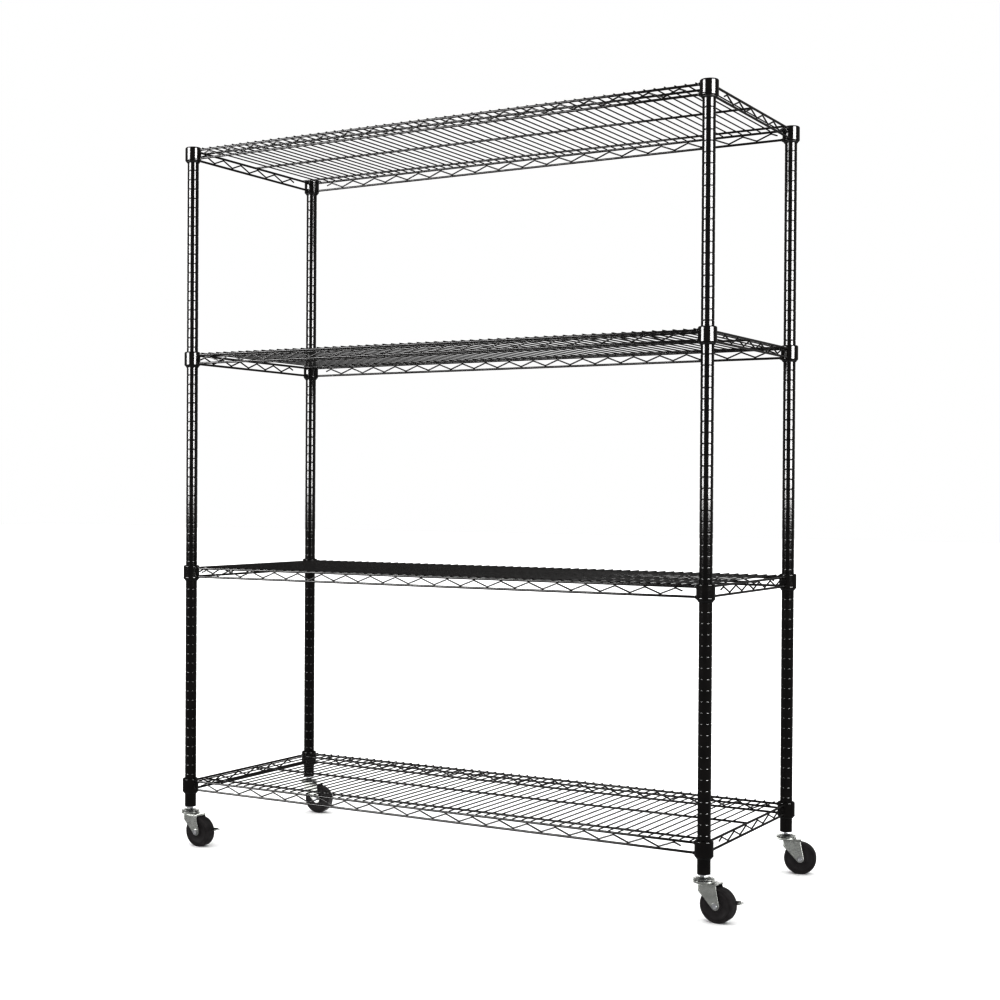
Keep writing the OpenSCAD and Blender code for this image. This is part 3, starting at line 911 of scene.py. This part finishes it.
def make_floor():
    """A plain pale floor that reflections don't see."""
    half = FLOOR_HALF
    mesh = bpy.data.meshes.new("floor")
    corners = [(-half, -half, 0), (half, -half, 0), (half, half, 0), (-half, half, 0)]
    mesh.from_pydata(corners, [], [(0, 1, 2, 3)])
    material = bpy.data.materials.new("floor")
    material.use_nodes = True
    shader = material.node_tree.nodes["Principled BSDF"]
    shader.inputs["Base Color"].default_value = (FLOOR_WHITE, FLOOR_WHITE, FLOOR_WHITE, 1)
    shader.inputs["Roughness"].default_value = 0.9
    shader.inputs["Specular IOR Level"].default_value = 0.1
    mesh.materials.append(material)
    floor = bpy.data.objects.new("floor", mesh)
    floor.visible_glossy = False
    bpy.context.scene.collection.objects.link(floor)


def softbox(name, place, target, width, height, power):
    """A soft area light at a place, facing a target."""
    light = bpy.data.lights.new(name, "AREA")
    light.shape = "RECTANGLE"
    light.size = width
    light.size_y = height
    light.energy = power
    lamp = bpy.data.objects.new(name, light)
    lamp.location = place
    lamp.rotation_euler = (Vector(target) - Vector(place)).to_track_quat("-Z", "Y").to_euler()
    lamp.visible_camera = False
    bpy.context.scene.collection.objects.link(lamp)
    return lamp


def make_room():
    """An even white room: plain white to the camera, brighter as light and dimmer in what surfaces mirror."""
    world = bpy.data.worlds.new("studio")
    world.use_nodes = True
    bpy.context.scene.world = world
    tree = world.node_tree
    background = tree.nodes["Background"]
    background.inputs["Color"].default_value = (1, 1, 1, 1)
    path = tree.nodes.new("ShaderNodeLightPath")
    seen = tree.nodes.new("ShaderNodeMix")
    seen.inputs["A"].default_value = FILL_STRENGTH
    seen.inputs["B"].default_value = 1.0
    tree.links.new(path.outputs["Is Camera Ray"], seen.inputs["Factor"])
    strength = tree.nodes.new("ShaderNodeMix")
    strength.inputs["B"].default_value = GLOSS_STRENGTH
    tree.links.new(seen.outputs["Result"], strength.inputs["A"])
    tree.links.new(path.outputs["Is Glossy Ray"], strength.inputs["Factor"])
    tree.links.new(strength.outputs["Result"], background.inputs["Strength"])


def light_group(name, things):
    """The objects that a light is kept to."""
    group = bpy.data.collections.new(name)
    for thing in things:
        group.objects.link(thing)
    return group


def make_light():
    """Softboxes that show in reflections only. The tall strong ones light the black parts, and the low boxes
    and floor panels light the bright metal and the wheels, which the tall ones would burn out."""
    meshes = [thing for thing in bpy.context.scene.objects if thing.type == "MESH"]
    black_looks = [EPOXY, PLASTIC]
    black = light_group("black_parts", [m for m in meshes if m.active_material in black_looks])
    other = light_group("metal_parts", [m for m in meshes if m.active_material not in black_looks])
    for group, boxes in ((black, TALL_BOXES), (other, LOW_BOXES)):
        for box in boxes:
            lamp = softbox(*box)
            lamp.visible_diffuse = False
            lamp.light_linking.receiver_collection = group


def make_camera():
    """The camera stands right of the front right post, a little below the rack's middle."""
    yaw = math.radians(CAMERA_YAW_DEG)
    pitch = math.radians(CAMERA_PITCH_DEG)
    roll = math.radians(CAMERA_ROLL_DEG)
    ahead = Vector((-math.sin(yaw) * math.cos(pitch), math.cos(yaw) * math.cos(pitch), math.sin(pitch)))
    level = Vector((math.cos(yaw), math.sin(yaw), 0))
    up = level.cross(ahead)
    right = level * math.cos(roll) + up * math.sin(roll)
    data = bpy.data.cameras.new("camera")
    data.sensor_width = CAMERA_SENSOR_MM
    data.lens = CAMERA_LENS_MM
    data.shift_x = CAMERA_SHIFT_X
    data.shift_y = CAMERA_SHIFT_Y
    camera = bpy.data.objects.new("camera", data)
    turn = Matrix((right, right.cross(ahead), -ahead)).transposed().to_4x4()
    place = Vector((RACK_CENTRE.x + CAMERA_X, RACK_CENTRE.y + CAMERA_Y, POST_FOOT + CAMERA_Z))
    camera.matrix_world = Matrix.Translation(place) @ turn
    bpy.context.scene.collection.objects.link(camera)
    bpy.context.scene.camera = camera
    view = bpy.context.scene.view_settings
    view.view_transform = "Standard"
    view.gamma = VIEW_GAMMA


make_camera()
make_posts()
make_post_caps()
for n in SHELVES:
    make_sleeves(n)
    make_collars(n)
    make_trusses(n)
    make_deck(n)
for corner in CORNERS:
    make_caster(corner)
paint_inner_nodes()
make_room()
make_light()
make_floor()
